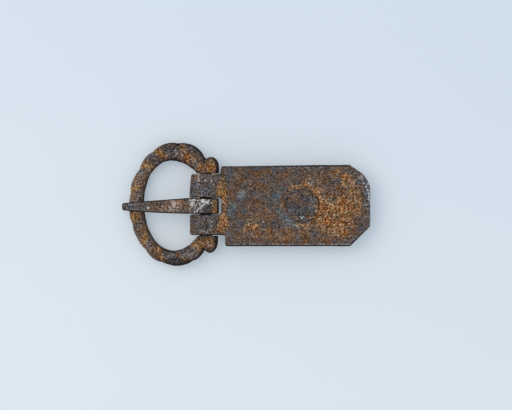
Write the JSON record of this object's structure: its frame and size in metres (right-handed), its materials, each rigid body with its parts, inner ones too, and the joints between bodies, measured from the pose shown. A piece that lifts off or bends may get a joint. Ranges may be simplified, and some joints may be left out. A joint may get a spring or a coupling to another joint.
{
  "type": "strap buckle",
  "caption": "Old iron strap buckle: roped D-shaped frame on a straight bar, tapered tongue on the same bar, and a folded sheet plate with a flat-headed rivet.",
  "frame": {"origin": "under the centre of the closed buckle, on the surface its back lies on", "axes": "+X from the frame to the strap end of the plate, +Y along the hinge bar, +Z out of the front face"},
  "size_m": [0.0672, 0.033, 0.0068],
  "materials": {
    "ring_iron": "rusted forged iron, dark brown with orange in the grooves",
    "tongue_iron": "dark forged iron worn bright over the bar",
    "sheet_iron": "rusted iron sheet with filed edges",
    "rivet_iron": "dark hammered iron"
  },
  "bodies": {
    "plate": {"folded_plate": "sheet_iron", "rivet": "rivet_iron"},
    "frame": {"buckle_frame": "ring_iron"},
    "tongue": {"tongue": "tongue_iron"}
  },
  "joints": [
    {"name": "frame_swing", "type": "hinge", "parent": "plate", "child": "frame", "pos_m": [-0.011, 0, 0.0034], "axis": [0, 1, 0], "range_deg": [-150, 20]},
    {"name": "tongue_swing", "type": "hinge", "parent": "frame", "child": "tongue", "pos_m": [-0.011, 0, 0.0034], "axis": [0, 1, 0], "range_deg": [0, 90]}
  ]
}
